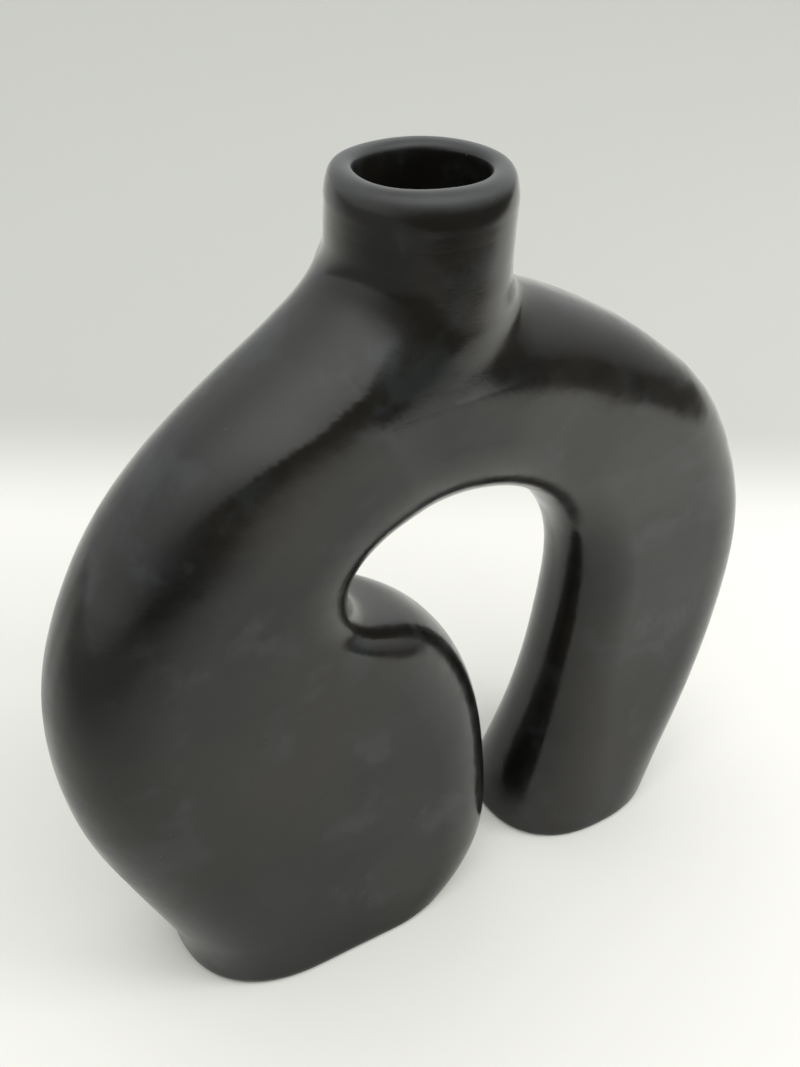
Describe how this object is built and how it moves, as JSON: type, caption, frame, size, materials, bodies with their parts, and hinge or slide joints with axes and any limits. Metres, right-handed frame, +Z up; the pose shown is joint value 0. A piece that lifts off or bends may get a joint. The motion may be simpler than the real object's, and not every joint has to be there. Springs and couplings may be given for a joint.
{
  "type": "black clay arch vase",
  "caption": "Hollow arch-shaped vase of burnished black clay on a wide and a narrow foot, with a short round neck and a thick rim.",
  "frame": {"origin": "on the table, under the middle of the arch and of its thickness", "axes": "+X along the arch from the wide foot to the narrow foot, +Y through its thickness to the back, +Z up the neck"},
  "size_m": [0.2294, 0.057, 0.238],
  "materials": {
    "burnished_clay": "smoke-fired black clay rubbed with a stone to a soft satin sheen",
    "raw_clay": "smoke-fired black clay left matt inside"
  },
  "bodies": {
    "root": {"front_half": "burnished_clay", "back_half": "burnished_clay", "wide_foot": "burnished_clay", "narrow_foot": "burnished_clay", "neck_tube": "burnished_clay", "neck_coil_left": "burnished_clay", "neck_coil_right": "burnished_clay", "rim_coil": "burnished_clay", "wide_foot_coil": "raw_clay", "narrow_foot_coil": "raw_clay", "outer_seam_coil_left": "raw_clay", "outer_seam_coil_right": "raw_clay", "inner_seam_coil": "raw_clay"}
  },
  "joints": []
}
